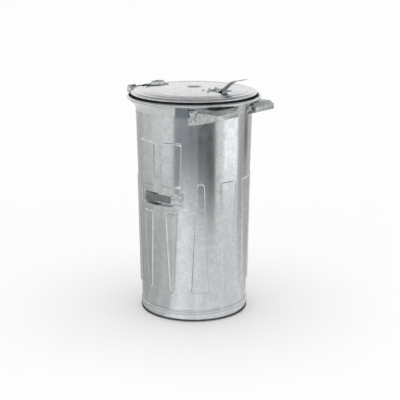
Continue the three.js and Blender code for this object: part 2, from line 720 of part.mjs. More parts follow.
function hingeBracketSolid() {
  const lugFront = hinge.y - lug.front;
  const lugTop = hinge.z + lug.rise;
  const rollMiddle = rimHeight - rimRollRadius;
  const inside = wallFootRadius / 2;
  const alongFunnel = openWallPath.slice(1).map(({ x, y }) =>
    [Math.sqrt(x ** 2 - lugOuterX ** 2) + lug.clasp, y]);
  const lugSide = [
    [inside, bracketFoot.bottom],
    [alongFunnel[0][0], bracketFoot.bottom],
    ...alongFunnel,
    [lugBack, rimHeight - cheek.drop],
    [lugBack, lugTop - lug.chamfer],
    [lugBack - lug.chamfer, lugTop],
    [lugFront + lug.chamfer, lugTop],
    [lugFront, lugTop - lug.chamfer],
    [lugFront, rollMiddle],
    [inside, rollMiddle],
  ];
  const back = (left, right, low, high) =>
    crossPrism([[cheekFront, low], [lugBack, low], [lugBack, high], [cheekFront, high]], left, right);
  const plates = [
    crossPrism(lugSide, lug.innerX, lugOuterX),
    crossPrism(lugSide, -lugOuterX, -lug.innerX),
    back(cheek.innerX, lug.innerX + 1, rimHeight - cheek.drop, hinge.z + cheek.rise),
    back(-lug.innerX - 1, -cheek.innerX, rimHeight - cheek.drop, hinge.z + cheek.rise),
    back(-cheek.innerX - 1, cheek.innerX + 1, rimHeight + 1, hinge.z + webRise),
  ];
  const feet = [180 - footInnerAngle - bracketFoot.width, 180 + footInnerAngle].map((from) =>
    wallBand(plate, bracketFoot.bottom, bracketFoot.top, from, from + bracketFoot.width));
  const bore = new THREE.CylinderGeometry(pinRadius + pinPlay, pinRadius + pinPlay, 3 * lugOuterX, 16);
  bore.rotateZ(Math.PI / 2).translate(0, hinge.y, hinge.z);
  const onRim = join(plates).subtract(wallEnvelope(fit));
  return cutAll(join([onRim, ...feet]), [solidOf(bore), ...wallHoles(bracketRivetPlaces)]);
}

const pinReach = lugOuterX + fit + washerSheet + fit;

// Pieces turned about the pin's axis: the outline gives (radius, x) points.
function onPin(outline, sides = 16) {
  const geometry = new THREE.LatheGeometry(outline, sides);
  return solidOf(geometry.rotateZ(-Math.PI / 2).translate(0, hinge.y, hinge.z));
}

const cotterX = pinReach + cotter.fromWasher;
const pinEnd = cotterX + 2.5 * cotter.radius;

function hingePinSolid() {
  const { radius, height } = pinHead;
  const pin = onPin([
    point(0, -pinReach - height), point(radius - 3, -pinReach - height), point(radius, -pinReach - height / 2),
    point(radius, -pinReach), point(pinRadius, -pinReach), point(pinRadius, pinEnd - 1.5),
    point(pinRadius - 1.5, pinEnd), point(0, pinEnd),
  ]);
  const hole = new THREE.CylinderGeometry(cotter.radius + fit, cotter.radius + fit, 6 * pinRadius, 8);
  return pin.subtract(solidOf(hole.rotateX(Math.PI / 2).translate(cotterX, hinge.y, hinge.z)));
}

function washerSolid(side) {
  const inner = pinRadius + fit;
  const near = side * (lugOuterX + fit);
  const far = near + side * washerSheet;
  return onPin([
    point(inner, near), point(washerRadius, near), point(washerRadius, far), point(inner, far), point(inner, near),
  ]);
}

// Split pin through the end of the hinge pin, its two legs bent apart below.
function splitPinSolid() {
  const { radius, eyeRise, legDrop, spread } = cotter;
  const leg = (side) => {
    const line = new THREE.CatmullRomCurve3([
      new THREE.Vector3(cotterX, hinge.y, hinge.z + eyeRise),
      new THREE.Vector3(cotterX, hinge.y, hinge.z),
      new THREE.Vector3(cotterX, hinge.y, hinge.z - legDrop + spread),
      new THREE.Vector3(cotterX, hinge.y + side * spread, hinge.z - legDrop),
    ]);
    const section = new THREE.Shape(arc(point(0, 0), 0.9 * radius, 0, 300, 5));
    return solidOf(new THREE.ExtrudeGeometry(section, { extrudePath: line, steps: 6, bevelEnabled: false }));
  };
  const eye = new THREE.TorusGeometry(1.75 * radius, 0.75 * radius, 5, 10).rotateY(Math.PI / 2);
  return join([leg(-1), leg(1), solidOf(eye.translate(cotterX, hinge.y, hinge.z + eyeRise + radius / 3))]);
}

// ---- Assembly -----------------------------------------------------------------------------------

function bodyShellSolid() {
  const wall = turned(sheetSection(wallPath(), sheet));
  const pressed = [flutedPanels, wedgePanels, shieldPanels, tonguePanels].reduce(pressPanels, wall);
  const earHoles = [1, -1].flatMap((side) => wallHoles(earRivetPlaces.map(([angle, z]) => [side * angle, z])));
  const gripHoles = [1, -1].flatMap((side) => wallHoles(gripRivetPlaces.map(([angle, z]) => [side * angle, z])));
  const openings = [gripOpening(), mirroredX(gripOpening())];
  return cutAll(pressed, [...openings, ...earHoles, ...gripHoles, ...wallHoles(bracketRivetPlaces)]);
}

function node(name, solid, look) {
  const mesh = new THREE.Mesh(geometryOf(solid), new THREE.MeshStandardMaterial(look));
  mesh.name = name;
  return mesh;
}

// Rivets of one joint, numbered from 1.
const rivetNodes = (name, rivets) => rivets.map((solid, i) => node(`${name}_${i + 1}`, solid, finishes.fastener));

const can = new THREE.Group();
can.add(
  node('body_shell', bodyShellSolid(), finishes.sheetSteel),
  node('rim_wire', wireRing(rollCentre, rimWireRadius), finishes.wire),
  node('foot_ring', footRingSolid(), finishes.sheetSteel),
  node('bottom_plate', bottomPlateSolid(), finishes.sheetSteel),
  node('hinge_bracket', hingeBracketSolid(), finishes.dippedPlate),
  ...rivetNodes('hinge_bracket_rivet', wallRivets(bracketRivetPlaces)),
  node('hinge_pin', hingePinSolid(), finishes.fastener),
  node('pin_washer_left', washerSolid(-1), finishes.fastener),
  node('pin_washer_right', washerSolid(1), finishes.fastener),
  node('split_pin', splitPinSolid(), finishes.fastener),
);

const liftingEar = earSolid();
const earRivets = wallRivets(earRivetPlaces);
const cup = gripCupSolid();
const gripStrap = gripStrapSolid();
const gripRivets = wallRivets(gripRivetPlaces);
const sides = [['right', (solid) => solid], ['left', mirroredX]];
sides.forEach(([side, placed]) => {
  can.add(
    node(`lifting_ear_${side}`, placed(liftingEar), finishes.dippedPlate),
    ...rivetNodes(`ear_rivet_${side}`, earRivets.map(placed)),
    node(`grip_cup_${side}`, placed(cup), finishes.sheetSteel),
    node(`grip_strap_${side}`, placed(gripStrap), finishes.dippedPlate),
    ...rivetNodes(`grip_rivet_${side}`, gripRivets.map(placed)),
  );
});

const lid = new THREE.Group();
lid.add(
  node('lid_shell', lidShellSolid(), finishes.lidSteel),
  node('lid_edge_wire', wireRing(lidRollCentre, lidWireRadius).intersect(lidReach), finishes.wire),
  node('lid_collar', collarSolid(), finishes.sheetSteel),
  node('hinge_strap', hingeStrapSolid(), finishes.dippedPlate),
  ...rivetNodes('hinge_strap_rivet', lidRivets(hingeStrapRivetPlaces)),
  node('lever_pan', leverPanSolid(), finishes.lidSteel),
  ...rivetNodes('lever_pan_rivet', lidRivets(panRivetPlaces)),
  node('lid_lever', leverSolid(), finishes.dippedPlate),
  ...rivetNodes('lid_lever_rivet', lidRivets(leverRivetPlaces)),
);

const dustbin = new THREE.Group();
dustbin.add(can, lid);

export default dustbin;
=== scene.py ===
import json
import math
import bpy
from mathutils import Matrix, Vector


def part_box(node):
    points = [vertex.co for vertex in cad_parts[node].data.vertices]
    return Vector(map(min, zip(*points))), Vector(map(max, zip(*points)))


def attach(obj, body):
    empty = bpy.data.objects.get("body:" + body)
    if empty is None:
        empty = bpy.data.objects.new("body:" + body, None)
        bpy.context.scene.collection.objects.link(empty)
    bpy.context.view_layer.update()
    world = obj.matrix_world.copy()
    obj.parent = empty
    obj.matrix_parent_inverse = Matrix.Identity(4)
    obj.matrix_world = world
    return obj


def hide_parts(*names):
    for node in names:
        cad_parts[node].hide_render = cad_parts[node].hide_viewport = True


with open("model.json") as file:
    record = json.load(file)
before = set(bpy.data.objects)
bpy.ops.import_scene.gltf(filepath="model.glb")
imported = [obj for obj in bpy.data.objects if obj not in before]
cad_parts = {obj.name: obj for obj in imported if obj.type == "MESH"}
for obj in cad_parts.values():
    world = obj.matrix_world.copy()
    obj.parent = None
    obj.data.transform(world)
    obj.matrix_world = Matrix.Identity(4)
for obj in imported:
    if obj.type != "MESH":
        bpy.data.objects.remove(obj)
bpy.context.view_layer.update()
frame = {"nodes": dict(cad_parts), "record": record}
nodes = frame["nodes"]
mm = 0.001


def deselectAll():
    if bpy.context.mode != "OBJECT":
        bpy.ops.object.mode_set(mode="OBJECT")
    bpy.ops.object.select_all(action="DESELECT")


def makeActive(piece):
    deselectAll()
    piece.select_set(True)
    bpy.context.view_layer.objects.active = piece


def applyPlace(piece):
    makeActive(piece)
    bpy.ops.object.transform_apply(location=True, rotation=True, scale=True)


def applyModifiers(piece):
    makeActive(piece)
    for name in [modifier.name for modifier in piece.modifiers]:
        bpy.ops.object.modifier_apply(modifier=name)


def mergeAndTurnOut(piece, distance=0.00002):
    makeActive(piece)
    bpy.ops.object.mode_set(mode="EDIT")
    bpy.ops.mesh.select_all(action="SELECT")
    bpy.ops.mesh.remove_doubles(threshold=distance)
    bpy.ops.mesh.normals_make_consistent(inside=False)
    bpy.ops.object.mode_set(mode="OBJECT")


def smoothByAngle(piece, degrees):
    makeActive(piece)
    bpy.ops.object.shade_smooth_by_angle(angle=math.radians(degrees), keep_sharp_edges=False)


def dress(piece, nodeName, material=None):
    # a finished piece takes its node's place, body, slot and finish
    piece.data.materials.clear()
    piece.data.materials.append(material or slotMaterials[slotOf[nodeName]])
    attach(piece, bodyOf[nodeName])
    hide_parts(nodeName)


def arc(centre, radius, start, end, steps):
    angles = [math.radians(start + (end - start) * i / steps) for i in range(steps + 1)]
    return [(centre[0] + radius * math.cos(a), centre[1] + radius * math.sin(a)) for a in angles]


def linearColour(hexColour):
    channels = [int(hexColour[i:i + 2], 16) / 255 for i in (0, 2, 4)]
    return tuple(c / 12.92 if c <= 0.04045 else ((c + 0.055) / 1.055) ** 2.4 for c in channels) + (1,)


def addNode(tree, kind, settings=None, inputs=None):
    node = tree.nodes.new(kind)
    for key, value in (settings or {}).items():
        setattr(node, key, value)
    for key, value in (inputs or {}).items():
        if isinstance(value, bpy.types.NodeSocket):
            tree.links.new(value, node.inputs[key])
        else:
            node.inputs[key].default_value = value
    return node


def mixColours(tree, share, first, second):
    # a Mix node set to colours keeps its colour sockets at 6 and 7, and its result at 2
    return addNode(tree, "ShaderNodeMix", {"data_type": "RGBA"}, {0: share, 6: first, 7: second}).outputs[2]


def shadedBarMiddle(tree, place, barShade, level, colour, rough):
    # painted shade: the middle of a grip strap's bar, as far along Y as "reach", is painted darker, greener
    # and rougher
    along = addNode(tree, "ShaderNodeSeparateXYZ", {}, {"Vector": place}).outputs["Y"]
    distance = addNode(tree, "ShaderNodeMath", {"operation": "ABSOLUTE"}, {0: along}).outputs[0]
    share = addNode(tree, "ShaderNodeMapRange", {"interpolation_type": "SMOOTHSTEP"},
                    {"Value": distance, "From Min": barShade["reach"] * mm,
                     "From Max": (barShade["reach"] + barShade["soft"]) * mm}).outputs["Result"]
    dull = mixColours(tree, level, linearColour(barShade["dark"]), linearColour(barShade["light"]))
    dullRough = addNode(tree, "ShaderNodeMix", {}, {0: share, 2: barShade["rough"], 3: rough}).outputs[0]
    return mixColours(tree, share, dull, colour), dullRough


def zincFinish(name, look):
    # Hot-dip galvanised steel: zinc that froze in crystals some millimetres wide, each a little
    # brighter or duller than the next, with clouds and long runs where the bath drained off.
    # Sheet is thin, so its flats also wander by a few tenths of a millimetre. Sizes are in millimetres.
    material = bpy.data.materials.new(name)
    material.use_nodes = True
    tree = material.node_tree
    tree.nodes.clear()
    place = addNode(tree, "ShaderNodeTexCoord").outputs["Object"]
    runs = addNode(tree, "ShaderNodeMapping", {},
                   {"Vector": place, "Scale": (1, 1, look["runStretch"])}).outputs[0]
    crystals = addNode(tree, "ShaderNodeTexVoronoi", {"feature": "F1"},
                       {"Vector": place, "Scale": 1 / (look["crystal"] * mm), "Randomness": 1.0})
    facet = addNode(tree, "ShaderNodeSeparateColor", {}, {"Color": crystals.outputs["Color"]})
    cloud = addNode(tree, "ShaderNodeTexNoise", {},
                    {"Vector": place, "Scale": 1 / (look["cloud"] * mm), "Detail": 5.0, "Roughness": 0.62})
    drain = addNode(tree, "ShaderNodeTexNoise", {},
                    {"Vector": runs, "Scale": 1 / (look["run"] * mm), "Detail": 4.0, "Roughness": 0.6})
    wander = addNode(tree, "ShaderNodeTexNoise", {},
                     {"Vector": place, "Scale": 1 / (look["wander"] * mm), "Detail": 1.0, "Roughness": 0.4})
    soft = addNode(tree, "ShaderNodeMath", {"operation": "MULTIPLY_ADD"},
                   {0: drain.outputs["Fac"], 1: look["runShare"], 2: cloud.outputs["Fac"]}).outputs[0]
    blend = addNode(tree, "ShaderNodeMath", {"operation": "MULTIPLY_ADD"},
                    {0: facet.outputs["Red"], 1: look["crystalShare"], 2: soft}).outputs[0]
    middle = 0.5 * (1 + look["runShare"] + look["crystalShare"])
    level = addNode(tree, "ShaderNodeMapRange", {},
                    {"Value": blend, "From Min": middle - look["spread"],
                     "From Max": middle + look["spread"]}).outputs["Result"]
    colour = mixColours(tree, level, linearColour(look["dark"]), linearColour(look["light"]))
    rough = addNode(tree, "ShaderNodeMapRange", {},
                    {"Value": level, "To Min": look["roughHigh"],
                     "To Max": look["roughLow"]}).outputs["Result"]
    skin = addNode(tree, "ShaderNodeBump", {},
                   {"Height": level, "Strength": look["grainBump"],
                    "Distance": look["grainHeight"] * mm}).outputs["Normal"]
    flats = addNode(tree, "ShaderNodeBump", {},
                    {"Height": wander.outputs["Fac"], "Normal": skin, "Strength": 1.0,
                     "Distance": look["wanderHeight"] * mm}).outputs["Normal"]
    # painted shade on the middle of a grip strap's bar
    if "barShade" in look:
        colour, rough = shadedBarMiddle(tree, place, look["barShade"], level, colour, rough)
    shader = addNode(tree, "ShaderNodeBsdfPrincipled", {},
                     {"Base Color": colour, "Roughness": rough, "Normal": flats, "Metallic": 1.0})
    addNode(tree, "ShaderNodeOutputMaterial", {}, {"Surface": shader.outputs["BSDF"]})
    return material


# rolled sheet: smooth and bright, dipped as sheet before it is pressed
sheetLook = {"dark": "bfc3c6", "light": "cfd1d3", "crystal": 8, "cloud": 30, "run": 26, "runStretch": 0.12,
             "crystalShare": 0.3, "runShare": 0.7, "spread": 0.22, "roughLow": 0.15, "roughHigh": 0.21,
             "grainBump": 0.07, "grainHeight": 0.1, "wander": 120, "wanderHeight": 0.3}
lidLook = {**sheetLook, "dark": "c2c4c7", "light": "d4d5d7", "runStretch": 1,
           "wander": 80, "wanderHeight": 0.25}
# dipped after forming: thicker zinc, dull and faintly green
plateLook = {"dark": "a0a7a5", "light": "c4c9c7", "crystal": 5, "cloud": 14, "run": 18, "runStretch": 0.5,
             "crystalShare": 0.3, "runShare": 0.3, "spread": 0.22, "roughLow": 0.24, "roughHigh": 0.36,
             "grainBump": 0.25, "grainHeight": 0.1, "wander": 40, "wanderHeight": 0.12}
# a grip strap is bright at its feet; the middle of its bar is painted dark and greenish, as painted shade
strapLook = {**plateLook, "dark": "b4b9ba", "light": "cfd2d2",
             "barShade": {"reach": 58, "soft": 5, "dark": "6a7371", "light": "8a9290", "rough": 0.38}}
# the collar inside the gap under the lid is painted dark and dull: painted shade for the gap
gapShadeLook = {**plateLook, "dark": "4a4d4f", "light": "6a6d6f", "roughLow": 0.45, "roughHigh": 0.6}
# small bright-zinc fasteners
fastenerLook = {**plateLook, "dark": "c4c6c7", "light": "e8e9e9", "crystal": 2.5, "cloud": 5, "run": 6,
                "roughLow": 0.16, "roughHigh": 0.26, "grainBump": 0.2, "wander": 8, "wanderHeight": 0.03}
slotMaterials = {"body_sheet": zincFinish("galvanisedSheet", sheetLook),
                 "lid_sheet": zincFinish("galvanisedLid", lidLook),
                 "dipped_plate": zincFinish("dippedPlate", plateLook),
                 "fastener": zincFinish("brightZinc", fastenerLook)}
slotMaterials["wire"] = slotMaterials["fastener"]
slotOf = {row["node"]: row["material_slot"] for row in frame["record"]["subparts"]}
bodyOf = {name: body for body, names in frame["record"]["behaviour"]["bodies"].items() for name in names}
strapZinc = zincFinish("dippedStrap", strapLook)
# the lid collar's finish is painted dark, as painted shade in the gap under the lid
ownFinish = {"grip_strap_left": strapZinc, "grip_strap_right": strapZinc,
             "lid_collar": zincFinish("gapShadeZinc", gapShadeLook)}
for name, slotName in slotOf.items():
    cadMaterials = nodes[name].data.materials
    if not cadMaterials:
        cadMaterials.append(slotMaterials[slotName])
    for index in range(len(cadMaterials)):
        cadMaterials[index] = slotMaterials[slotName]
print("materials made")


# camera, floor and light

cameraSet = {"azimuth": -51.5, "distance": 4.05, "height": 1.489, "pitch": 14.75,
             "lens": 97.65, "sensor": 36, "shift": 0.015}
# sky: (sine of the elevation, strength)
studio = {"floor": "f2f2f2", "floorRough": 0.9, "floorSize": 60,
          "sunPower": 1.75, "sunAngle": 75, "sunHeight": 4.5,
          "sky": [(0, 0.85), (0.03, 1.02), (0.33, 1.02), (0.52, 0.6), (0.8, 0.4)]}


def aroundCan(turn, distance, height):
    # turn is measured from the camera's side, to the right as the camera sees the can
    a = math.radians(cameraSet["azimuth"] + turn)
    return Vector((distance * math.sin(a), -distance * math.cos(a), height))


bpy.ops.object.camera_add(
    location=aroundCan(0, cameraSet["distance"], cameraSet["height"]),
    rotation=(math.radians(90 - cameraSet["pitch"]), 0, math.radians(cameraSet["azimuth"])))
camera = bpy.context.object
camera.data.lens = cameraSet["lens"]
camera.data.sensor_width = cameraSet["sensor"]
camera.data.shift_x = cameraSet["shift"]
bpy.context.scene.camera = camera
bpy.context.scene.view_settings.view_transform = "Standard"

bpy.ops.mesh.primitive_plane_add(size=studio["floorSize"], location=(0, 0, 0))
floor = bpy.context.object
floor.name = "studioFloor"
floorPaper = bpy.data.materials.new("whitePaper")
floorPaper.use_nodes = True
paperShader = floorPaper.node_tree.nodes["Principled BSDF"]
paperShader.inputs["Base Color"].default_value = linearColour(studio["floor"])
paperShader.inputs["Roughness"].default_value = studio["floorRough"]
floor.data.materials.append(floorPaper)

# the studio's walls: a little dim at the floor's edge, bright above it and dim overhead, so that bends in
# the metal show
world = bpy.data.worlds.new("studio")
world.use_nodes = True
bpy.context.scene.world = world
skyTree = world.node_tree
skyPlace = addNode(skyTree, "ShaderNodeTexCoord").outputs["Generated"]
skyRise = addNode(skyTree, "ShaderNodeSeparateXYZ", {}, {"Vector": skyPlace}).outputs["Z"]
skyRamp = addNode(skyTree, "ShaderNodeValToRGB", {}, {"Fac": skyRise})
skyRamp.color_ramp.interpolation = "EASE"
for position, strength in studio["sky"]:
    element = skyRamp.color_ramp.elements.new(position)
    element.color = (strength, strength, strength, 1)
skyRamp.color_ramp.elements.remove(skyRamp.color_ramp.elements[0])
skyRamp.color_ramp.elements.remove(skyRamp.color_ramp.elements[-1])
skyTree.links.new(skyRamp.outputs["Color"], skyTree.nodes["Background"].inputs["Color"])

bpy.ops.object.light_add(type="SUN", location=(0, 0, studio["sunHeight"]))
topLight = bpy.context.object
topLight.name = "topLight"
topLight.data.angle = math.radians(studio["sunAngle"])
topLight.data.energy = studio["sunPower"]
topLight.visible_glossy = False

# Cards that only the metal sees. They lie on the floor as slices of a ring, because the wall of the can
# shows the camera the floor. Turns are in degrees from the camera's side, and each card runs from its
# near shade to its far shade between the two distances of its fade.
grey = (1.0, 0.99, 0.97)
slate = (0.93, 1.01, 1.08)
floorRing = {"height": 0.002, "start": 0.23, "end": 4.5}
floorCards = [
    {"name": "rearCard", "turns": (131, 212), "near": 0.55, "far": 0.62, "fade": (0.8, 2.6)},
    {"name": "leftRearCard", "turns": (212, 240), "near": 0.5, "far": 0.58, "fade": (0.8, 2.6)},
    {"name": "leftCard", "turns": (240, 270), "near": 0.52, "far": 0.74, "fade": (0.8, 2.8)},
    {"name": "leftSideCard", "turns": (270, 296), "near": 0.62, "far": 0.86, "fade": (0.8, 2.8)},
    {"name": "leftFrontCard", "turns": (296, 321.4), "near": 0.7, "far": 0.93, "fade": (0.8, 2.8)},
    {"name": "slateEdgeCard", "turns": (-38.6, -29), "near": 1.0, "far": 0.3, "fade": (1.4, 1.9),
     "tint": (0.9, 1.02, 1.14)},
    {"name": "slateCard", "turns": (-29, -9), "near": 1.12, "far": 0.27, "fade": (1.5, 2.6), "tint": slate},
    {"name": "slateRightCard", "turns": (-9, 8), "near": 1.02, "far": 0.18, "fade": (1.2, 2.9),
     "tint": (0.96, 1.0, 1.05)},
    {"name": "darkCard", "turns": (8, 26), "near": 0.98, "far": 0.08, "fade": (0.9, 2.7)},
    {"name": "darkEdgeCard", "turns": (26, 41.8), "near": 0.93, "far": 0.07, "fade": (0.7, 2.4)},
    {"name": "paleCard", "turns": (41.8, 60), "near": 0.93, "far": 0.95, "fade": (0.8, 2)},
    {"name": "brightCard", "turns": (60, 96), "near": 0.93, "far": 1.5, "fade": (1.5, 2.8),
     "tint": (1, 1, 1.01)},
    {"name": "rightCard", "turns": (96, 118), "near": 0.78, "far": 0.55, "fade": (0.6, 2.0)},
    {"name": "stripCard", "turns": (118, 131), "near": 0.62, "far": 0.14, "fade": (1.9, 3.2)},
]
# a dark ring round the foot, where the can shades the floor
footShade = {"height": 0.003, "start": 0.2, "end": 0.223}
footCards = [{"name": "footCard", "turns": (0, 360), "near": 0.08, "far": 0.08}]
# a ring close under the rim, which the flare shows
rimRing = {"height": 0.783, "start": 0.2205, "end": 0.24}
rimCards = [
    {"name": "rimLeftCard", "turns": (-100, -19.3), "near": 0.86, "far": 0.86},
    {"name": "rimSlateCard", "turns": (-19.3, -4), "near": 0.27, "far": 0.27, "tint": slate},
    {"name": "rimRightCard", "turns": (44, 62), "near": 0.7, "far": 0.7},
]
# a black ring between the rim and the lid, which makes the gap darker than its shape alone does
gapRing = {"height": 0.8369, "start": 0.228, "end": 0.245}
gapCards = [{"name": "gapCard", "turns": (-105, 208), "near": 0.01, "far": 0.01}]


def glowCard(piece, colour, paint=None):
    # colour is a constant or a socket of the paint's own tree
    if not paint:
        paint = bpy.data.materials.new(piece.name)
        paint.use_nodes = True
        paint.node_tree.nodes.clear()
    tree = paint.node_tree
    glow = addNode(tree, "ShaderNodeEmission", {}, {"Color": colour})
    addNode(tree, "ShaderNodeOutputMaterial", {}, {"Surface": glow.outputs["Emission"]})
    piece.data.materials.append(paint)
    piece.visible_camera = False
    piece.visible_diffuse = False
    piece.visible_shadow = False


def layCard(card, ring):
    first, last = card["turns"]
    start, end = ring["start"], ring["end"]
    steps = max(2, round((last - first) / 6))
    bpy.ops.mesh.primitive_grid_add(x_subdivisions=steps, y_subdivisions=1, size=2)
    piece = bpy.context.object
    piece.name = card["name"]
    for vertex in piece.data.vertices:
        turn = first + (last - first) * (vertex.co.x + 1) / 2
        vertex.co = aroundCan(turn, start + (end - start) * (vertex.co.y + 1) / 2, ring["height"])
    paint = bpy.data.materials.new(card["name"])
    paint.use_nodes = True
    tree = paint.node_tree
    tree.nodes.clear()
    place = addNode(tree, "ShaderNodeTexCoord").outputs["Object"]
    away = addNode(tree, "ShaderNodeVectorMath", {"operation": "LENGTH"}, {0: place}).outputs["Value"]
    fadeFrom, fadeTo = card.get("fade", (start, end))
    share = addNode(tree, "ShaderNodeMapRange", {"interpolation_type": "SMOOTHSTEP"},
                    {"Value": away, "From Min": fadeFrom, "From Max": fadeTo}).outputs["Result"]
    tint = card.get("tint", grey)
    near, far = ((*(card[key] * channel for channel in tint), 1) for key in ("near", "far"))
    if card["near"] > card["far"]:
        # a card that darkens outwards takes up its tint on the way
        near = (card["near"],) * 3 + (1,)
    glowCard(piece, mixColours(tree, share, near, far), paint)


for ring, ringCards in ((floorRing, floorCards), (rimRing, rimCards),
                        (footShade, footCards), (gapRing, gapCards)):
    for card in ringCards:
        layCard(card, ring)
print("camera, floor, light and cards placed")


# body wall

wall = {
    "footRadius": 201, "neckRadius": 219.6, "neckHeight": 785, "bottom": 5, "sheet": 1.2,
    "rimRadius": 253.5, "rimHeight": 835, "rollRadius": 6, "rollFrom": -25, "rollTo": 215,
    # the points that pull the funnel's curve: (out from the neck or in from the rim, share of its height)
    "neckPull": (0.9, 0.38), "rimPull": (20.5, 0.56),
    "funnelSteps": 18, "rollSteps": 22,
    "pressWidth": 3.3,                        # run of a panel's sloping edge
    "panelReach": 16,                         # no panel reaches further from its middle, in degrees
    "columnsFrom": 90, "columnsTo": 720,      # the columns of the mesh follow the panels' edges between these
    "frontColumnsTo": 560, "straightFrom": 772,
    "edgeColumns": [2.2, 0.2, -0.6, -1.4, -2.2, -3.4, -6],    # outwards from a panel's edge
    "columnsOnPanel": 5, "columnsBetween": 2,
}
# Rows of the mesh: (first height, last height, step), with fine steps where a panel ends
wallRows = [(16, 104, 11), (106, 134, 2), (144, 396, 12), (400, 424, 2), (434, 512, 11), (516, 542, 2),
            (552, 662, 11), (668, 692, 2), (702, 772, 10)]
flutedPanels = {"angles": [45, 135, 225, 315], "top": 538, "bottom": 112, "halfTop": 15, "halfBottom": 34,
                "riseTop": 2.6, "riseBottom": 5.4, "cornerTop": 14, "cornerBottom": 6}
wedgePanels = {"angles": [15, 165, 195, 345], "top": 538, "bottom": 114, "halfTop": 37, "halfBottom": 16,
               "riseTop": 3, "riseBottom": 3, "cornerTop": 8, "cornerBottom": 15}
shieldPanels = {"angles": [75, 105, 255, 285], "top": 688, "bottom": 519, "halfTop": 44, "halfBottom": 40,
                "riseTop": 3, "riseBottom": 3, "cornerTop": 12, "cornerBottom": 12}
tonguePanels = {"angles": [75, 105, 255, 285], "top": 420, "bottom": 110, "halfTop": 29, "halfBottom": 13,
                "riseTop": 3, "riseBottom": 3, "cornerTop": 12, "cornerBottom": 12,
                "fall": 2, "fallRun": 3}       # inside its border the tongue drops back


def wallRadius(height):
    return wall["footRadius"] + (wall["neckRadius"] - wall["footRadius"]) * height / wall["neckHeight"]


def halfWidth(panel, height):
    share = (height - panel["bottom"]) / (panel["top"] - panel["bottom"])
    return panel["halfBottom"] + (panel["halfTop"] - panel["halfBottom"]) * share


def sideHalfWidth(height):
    # the tongue below the grip and the shield above it, with a straight run between
    if height <= tonguePanels["top"]:
        return halfWidth(tonguePanels, height)
    if height >= shieldPanels["bottom"]:
        return halfWidth(shieldPanels, height)
    share = (height - tonguePanels["top"]) / (shieldPanels["bottom"] - tonguePanels["top"])
    return tonguePanels["halfTop"] + (shieldPanels["halfBottom"] - tonguePanels["halfTop"]) * share


def panelHalf(index, height):
    kind = index % 6
    height = min(max(height, wall["columnsFrom"]), wall["columnsTo"])
    if kind in (0, 5):
        return halfWidth(wedgePanels, min(height, wall["frontColumnsTo"]))
    if kind in (1, 4):
        return halfWidth(flutedPanels, min(height, wall["frontColumnsTo"]))
    return sideHalfWidth(height)


def panelRise(panel, across, height):
    # height of the pressing at a place: nothing outside the panel's rounded outline, the full rise inside it
    side = abs(across) - halfWidth(panel, height)
    above = height - panel["top"]
    below = panel["bottom"] - height
    end, corner = (above, panel["cornerTop"]) if above > below else (below, panel["cornerBottom"])
    sideReach = side + corner
    endReach = end + corner
    outside = (min(max(sideReach, endReach), 0) + math.hypot(max(sideReach, 0), max(endReach, 0)) - corner)
    share = min(max(-outside / wall["pressWidth"], 0), 1)
    level = min(max((height - panel["bottom"]) / (panel["top"] - panel["bottom"]), 0), 1)
    rise = panel["riseBottom"] + (panel["riseTop"] - panel["riseBottom"]) * level
    fall = 0
    if "fall" in panel:
        inside = min(max((-outside - wall["pressWidth"]) / panel["fallRun"], 0), 1)
        fall = panel["fall"] * inside * inside * (3 - 2 * inside)
    return rise * share * share * (3 - 2 * share) - fall


def pressedHeight(angle, height):
    # angle in degrees from the front, height in millimetres
    total = 0
    for panel in (flutedPanels, wedgePanels, shieldPanels, tonguePanels):
        if not panel["bottom"] - 1 <= height <= panel["top"] + 1:
            continue
        for middle in panel["angles"]:
            turn = (angle - middle + 180) % 360 - 180
            if abs(turn) < wall["panelReach"]:
                total = max(total, panelRise(panel, math.radians(turn) * wallRadius(height), height))
    return total


rollInset = 0.05      # rolled edges stay this far inside the solid's


def rollArc(end, steps):
    # the rolled rim, from the place where the flare runs into it
    centre = (wall["rimRadius"] - wall["rollRadius"], wall["rimHeight"] - wall["rollRadius"])
    return arc(centre, wall["rollRadius"] - rollInset, wall["rollFrom"], end, steps)


def funnelPoints(steps):
    # the flare from the neck to the rolled rim, as a curve pulled by two points between its ends
    depth = wall["rimHeight"] - wall["neckHeight"]
    outFromNeck, neckShare = wall["neckPull"]
    inFromRim, rimShare = wall["rimPull"]
    control = [Vector((wall["neckRadius"], wall["neckHeight"])),
               Vector((wall["neckRadius"] + outFromNeck, wall["neckHeight"] + neckShare * depth)),
               Vector((wall["rimRadius"] - inFromRim, wall["neckHeight"] + rimShare * depth)),
               Vector(rollArc(wall["rollFrom"], 1)[0])]
    points = []
    for i in range(steps + 1):
        t = i / steps
        points.append((1 - t) ** 3 * control[0] + 3 * t * (1 - t) ** 2 * control[1]
                      + 3 * t * t * (1 - t) * control[2] + t ** 3 * control[3])
    return points


def wallProfile():
    # rows of (radius, height) up the wall, round the funnel and round the roll
    heights = [wall["bottom"]]
    for start, end, step in wallRows:
        heights += [start + step * i for i in range(int((end - start) / step) + 1)]
    rows = [(wallRadius(z), z) for z in heights]
    funnel = [(spot.x, spot.y) for spot in funnelPoints(wall["funnelSteps"])[:-1]]
    return rows + funnel + rollArc(wall["rollTo"], wall["rollSteps"])


def columnAngles(height):
    # each panel edge keeps a bundle of columns on its slope; the rest share the flats
    bundle = wall["edgeColumns"]
    radius = wallRadius(min(height, wall["neckHeight"]))
    edges = []
    for index in range(12):
        half = panelHalf(index, height)
        middle = math.radians(15 + 30 * index) * radius
        edges.append([middle - half - offset for offset in bundle])
        edges.append([middle + half + offset for offset in reversed(bundle)])
    around = 2 * math.pi * radius
    columns = []
    for index, bundleHere in enumerate(edges):
        columns += bundleHere
        following = edges[(index + 1) % len(edges)][0] + (around if index == len(edges) - 1 else 0)
        between = wall["columnsOnPanel"] if index % 2 == 0 else wall["columnsBetween"]
        last = bundleHere[-1]
        columns += [last + (following - last) * (i + 1) / (between + 1) for i in range(between)]
    return [across / radius for across in columns]


